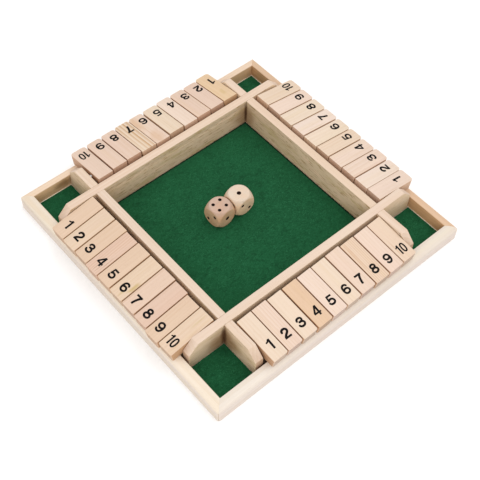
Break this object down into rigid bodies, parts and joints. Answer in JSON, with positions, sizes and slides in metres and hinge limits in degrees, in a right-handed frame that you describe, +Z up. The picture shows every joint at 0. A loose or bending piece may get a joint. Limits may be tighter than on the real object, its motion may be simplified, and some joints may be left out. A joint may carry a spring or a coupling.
{
  "type": "shut the box game",
  "caption": "Square wooden tray game: four bays of numbered tiles that flip on steel rods, round a felt-floored dice tray with two dice.",
  "frame": {"origin": "on the table under the middle of the square frame", "axes": "+Z up; -Y towards the bay named front, +X towards the bay named right; the bays' numbers read from outside the board"},
  "size_m": [0.2225, 0.2226, 0.0265],
  "materials": {
    "frame_wood": "pine, sanded smooth, thin matt varnish",
    "divider_wood": "pine, sanded smooth, thin matt varnish",
    "base_wood": "thin brown board, unvarnished",
    "tile_wood": "pine, sanded smooth, thin matt varnish, black printed numbers",
    "die_wood_warm": "close-grained wood, bare, dark pips",
    "die_wood_pale": "close-grained wood, bare, dark pips",
    "felt": "short-napped green felt",
    "rod_steel": "drawn bright wire"
  },
  "bodies": {
    "board": {"base_board": "base_wood", "rail_front": "frame_wood", "rail_right": "frame_wood", "rail_back": "frame_wood", "rail_left": "frame_wood", "divider_front": "divider_wood", "divider_back": "divider_wood", "divider_left": "divider_wood", "divider_right": "divider_wood", "corner_dividers": "divider_wood", "felt_tray": "felt", "felts_corner": "felt", "rod_front": "rod_steel", "rod_right": "rod_steel", "rod_back": "rod_steel", "rod_left": "rod_steel"},
    "tile_front_1": {"tile_front_1": "tile_wood"},
    "tile_front_2": {"tile_front_2": "tile_wood"},
    "tile_front_3": {"tile_front_3": "tile_wood"},
    "tile_front_4": {"tile_front_4": "tile_wood"},
    "tile_front_5": {"tile_front_5": "tile_wood"},
    "tile_front_6": {"tile_front_6": "tile_wood"},
    "tile_front_7": {"tile_front_7": "tile_wood"},
    "tile_front_8": {"tile_front_8": "tile_wood"},
    "tile_front_9": {"tile_front_9": "tile_wood"},
    "tile_front_10": {"tile_front_10": "tile_wood"},
    "tile_right_1": {"tile_right_1": "tile_wood"},
    "tile_right_2": {"tile_right_2": "tile_wood"},
    "tile_right_3": {"tile_right_3": "tile_wood"},
    "tile_right_4": {"tile_right_4": "tile_wood"},
    "tile_right_5": {"tile_right_5": "tile_wood"},
    "tile_right_6": {"tile_right_6": "tile_wood"},
    "tile_right_7": {"tile_right_7": "tile_wood"},
    "tile_right_8": {"tile_right_8": "tile_wood"},
    "tile_right_9": {"tile_right_9": "tile_wood"},
    "tile_right_10": {"tile_right_10": "tile_wood"},
    "tile_back_1": {"tile_back_1": "tile_wood"},
    "tile_back_2": {"tile_back_2": "tile_wood"},
    "tile_back_3": {"tile_back_3": "tile_wood"},
    "tile_back_4": {"tile_back_4": "tile_wood"},
    "tile_back_5": {"tile_back_5": "tile_wood"},
    "tile_back_6": {"tile_back_6": "tile_wood"},
    "tile_back_7": {"tile_back_7": "tile_wood"},
    "tile_back_8": {"tile_back_8": "tile_wood"},
    "tile_back_9": {"tile_back_9": "tile_wood"},
    "tile_back_10": {"tile_back_10": "tile_wood"},
    "tile_left_1": {"tile_left_1": "tile_wood"},
    "tile_left_2": {"tile_left_2": "tile_wood"},
    "tile_left_3": {"tile_left_3": "tile_wood"},
    "tile_left_4": {"tile_left_4": "tile_wood"},
    "tile_left_5": {"tile_left_5": "tile_wood"},
    "tile_left_6": {"tile_left_6": "tile_wood"},
    "tile_left_7": {"tile_left_7": "tile_wood"},
    "tile_left_8": {"tile_left_8": "tile_wood"},
    "tile_left_9": {"tile_left_9": "tile_wood"},
    "tile_left_10": {"tile_left_10": "tile_wood"},
    "die_left": {"die_left": "die_wood_warm"},
    "die_right": {"die_right": "die_wood_pale"}
  },
  "joints": [
    {"name": "flip_front_1", "type": "hinge", "parent": "board", "child": "tile_front_1", "pos_m": [-0.0584, -0.08265, 0.0205], "axis": [-1, 0, 0], "range_deg": [0, 147.5]},
    {"name": "flip_front_2", "type": "hinge", "parent": "board", "child": "tile_front_2", "pos_m": [-0.04567, -0.08265, 0.0205], "axis": [-1, 0, 0], "range_deg": [0, 147.5]},
    {"name": "flip_front_3", "type": "hinge", "parent": "board", "child": "tile_front_3", "pos_m": [-0.03283, -0.08265, 0.0205], "axis": [-1, 0, 0], "range_deg": [0, 147.5]},
    {"name": "flip_front_4", "type": "hinge", "parent": "board", "child": "tile_front_4", "pos_m": [-0.01965, -0.08265, 0.0205], "axis": [-1, 0, 0], "range_deg": [0, 147.5]},
    {"name": "flip_front_5", "type": "hinge", "parent": "board", "child": "tile_front_5", "pos_m": [-0.00652, -0.08265, 0.0205], "axis": [-1, 0, 0], "range_deg": [0, 147.5]},
    {"name": "flip_front_6", "type": "hinge", "parent": "board", "child": "tile_front_6", "pos_m": [0.00632, -0.08265, 0.0205], "axis": [-1, 0, 0], "range_deg": [0, 147.5]},
    {"name": "flip_front_7", "type": "hinge", "parent": "board", "child": "tile_front_7", "pos_m": [0.01965, -0.08265, 0.0205], "axis": [-1, 0, 0], "range_deg": [0, 147.5]},
    {"name": "flip_front_8", "type": "hinge", "parent": "board", "child": "tile_front_8", "pos_m": [0.03273, -0.08265, 0.0205], "axis": [-1, 0, 0], "range_deg": [0, 147.5]},
    {"name": "flip_front_9", "type": "hinge", "parent": "board", "child": "tile_front_9", "pos_m": [0.04597, -0.08265, 0.0205], "axis": [-1, 0, 0], "range_deg": [0, 147.5]},
    {"name": "flip_front_10", "type": "hinge", "parent": "board", "child": "tile_front_10", "pos_m": [0.05885, -0.08265, 0.0205], "axis": [-1, 0, 0], "range_deg": [0, 135.36]},
    {"name": "flip_right_1", "type": "hinge", "parent": "board", "child": "tile_right_1", "pos_m": [0.08425, -0.05715, 0.0205], "axis": [0, -1, 0], "range_deg": [0, 148.09]},
    {"name": "flip_right_2", "type": "hinge", "parent": "board", "child": "tile_right_2", "pos_m": [0.08425, -0.04482, 0.0205], "axis": [0, -1, 0], "range_deg": [0, 148.09]},
    {"name": "flip_right_3", "type": "hinge", "parent": "board", "child": "tile_right_3", "pos_m": [0.08425, -0.03183, 0.0205], "axis": [0, -1, 0], "range_deg": [0, 148.09]},
    {"name": "flip_right_4", "type": "hinge", "parent": "board", "child": "tile_right_4", "pos_m": [0.08425, -0.019, 0.0205], "axis": [0, -1, 0], "range_deg": [0, 148.09]},
    {"name": "flip_right_5", "type": "hinge", "parent": "board", "child": "tile_right_5", "pos_m": [0.08425, -0.00592, 0.0205], "axis": [0, -1, 0], "range_deg": [0, 148.09]},
    {"name": "flip_right_6", "type": "hinge", "parent": "board", "child": "tile_right_6", "pos_m": [0.08425, 0.00687, 0.0205], "axis": [0, -1, 0], "range_deg": [0, 148.09]},
    {"name": "flip_right_7", "type": "hinge", "parent": "board", "child": "tile_right_7", "pos_m": [0.08425, 0.02025, 0.0205], "axis": [0, -1, 0], "range_deg": [0, 148.09]},
    {"name": "flip_right_8", "type": "hinge", "parent": "board", "child": "tile_right_8", "pos_m": [0.08425, 0.03333, 0.0205], "axis": [0, -1, 0], "range_deg": [0, 148.09]},
    {"name": "flip_right_9", "type": "hinge", "parent": "board", "child": "tile_right_9", "pos_m": [0.08425, 0.04657, 0.0205], "axis": [0, -1, 0], "range_deg": [0, 148.09]},
    {"name": "flip_right_10", "type": "hinge", "parent": "board", "child": "tile_right_10", "pos_m": [0.08425, 0.0596, 0.0205], "axis": [0, -1, 0], "range_deg": [0, 136.06]},
    {"name": "flip_back_1", "type": "hinge", "parent": "board", "child": "tile_back_1", "pos_m": [0.0587, 0.08585, 0.0205], "axis": [1, 0, 0], "range_deg": [0, 148.77]},
    {"name": "flip_back_2", "type": "hinge", "parent": "board", "child": "tile_back_2", "pos_m": [0.04577, 0.08585, 0.0205], "axis": [1, 0, 0], "range_deg": [0, 148.77]},
    {"name": "flip_back_3", "type": "hinge", "parent": "board", "child": "tile_back_3", "pos_m": [0.03308, 0.08585, 0.0205], "axis": [1, 0, 0], "range_deg": [0, 148.77]},
    {"name": "flip_back_4", "type": "hinge", "parent": "board", "child": "tile_back_4", "pos_m": [0.0202, 0.08585, 0.0205], "axis": [1, 0, 0], "range_deg": [0, 148.77]},
    {"name": "flip_back_5", "type": "hinge", "parent": "board", "child": "tile_back_5", "pos_m": [0.00737, 0.08585, 0.0205], "axis": [1, 0, 0], "range_deg": [0, 148.77]},
    {"name": "flip_back_6", "type": "hinge", "parent": "board", "child": "tile_back_6", "pos_m": [-0.00612, 0.08585, 0.0205], "axis": [1, 0, 0], "range_deg": [0, 148.77]},
    {"name": "flip_back_7", "type": "hinge", "parent": "board", "child": "tile_back_7", "pos_m": [-0.01855, 0.08585, 0.0205], "axis": [1, 0, 0], "range_deg": [0, 148.77]},
    {"name": "flip_back_8", "type": "hinge", "parent": "board", "child": "tile_back_8", "pos_m": [-0.03128, 0.08585, 0.0205], "axis": [1, 0, 0], "range_deg": [0, 148.77]},
    {"name": "flip_back_9", "type": "hinge", "parent": "board", "child": "tile_back_9", "pos_m": [-0.04422, 0.08585, 0.0205], "axis": [1, 0, 0], "range_deg": [0, 148.77]},
    {"name": "flip_back_10", "type": "hinge", "parent": "board", "child": "tile_back_10", "pos_m": [-0.05755, 0.08585, 0.0205], "axis": [1, 0, 0], "range_deg": [0, 135.57]},
    {"name": "flip_left_1", "type": "hinge", "parent": "board", "child": "tile_left_1", "pos_m": [-0.08425, 0.06015, 0.0205], "axis": [0, 1, 0], "range_deg": [0, 148.09]},
    {"name": "flip_left_2", "type": "hinge", "parent": "board", "child": "tile_left_2", "pos_m": [-0.08425, 0.04697, 0.0205], "axis": [0, 1, 0], "range_deg": [0, 148.09]},
    {"name": "flip_left_3", "type": "hinge", "parent": "board", "child": "tile_left_3", "pos_m": [-0.08425, 0.03383, 0.0205], "axis": [0, 1, 0], "range_deg": [0, 148.09]},
    {"name": "flip_left_4", "type": "hinge", "parent": "board", "child": "tile_left_4", "pos_m": [-0.08425, 0.02125, 0.0205], "axis": [0, 1, 0], "range_deg": [0, 148.09]},
    {"name": "flip_left_5", "type": "hinge", "parent": "board", "child": "tile_left_5", "pos_m": [-0.08425, 0.00837, 0.0205], "axis": [0, 1, 0], "range_deg": [0, 148.09]},
    {"name": "flip_left_6", "type": "hinge", "parent": "board", "child": "tile_left_6", "pos_m": [-0.08425, -0.00507, 0.0205], "axis": [0, 1, 0], "range_deg": [0, 148.09]},
    {"name": "flip_left_7", "type": "hinge", "parent": "board", "child": "tile_left_7", "pos_m": [-0.08425, -0.0181, 0.0205], "axis": [0, 1, 0], "range_deg": [0, 148.09]},
    {"name": "flip_left_8", "type": "hinge", "parent": "board", "child": "tile_left_8", "pos_m": [-0.08425, -0.03123, 0.0205], "axis": [0, 1, 0], "range_deg": [0, 148.09]},
    {"name": "flip_left_9", "type": "hinge", "parent": "board", "child": "tile_left_9", "pos_m": [-0.08425, -0.04422, 0.0205], "axis": [0, 1, 0], "range_deg": [0, 148.09]},
    {"name": "flip_left_10", "type": "hinge", "parent": "board", "child": "tile_left_10", "pos_m": [-0.08425, -0.05725, 0.0205], "axis": [0, 1, 0], "range_deg": [0, 135.51]},
    {"name": "lift_die_left", "type": "slide", "parent": "board", "child": "die_left", "axis": [0, 0, 1], "range_m": [0, 0.06]},
    {"name": "lift_die_right", "type": "slide", "parent": "board", "child": "die_right", "axis": [0, 0, 1], "range_m": [0, 0.06]}
  ]
}
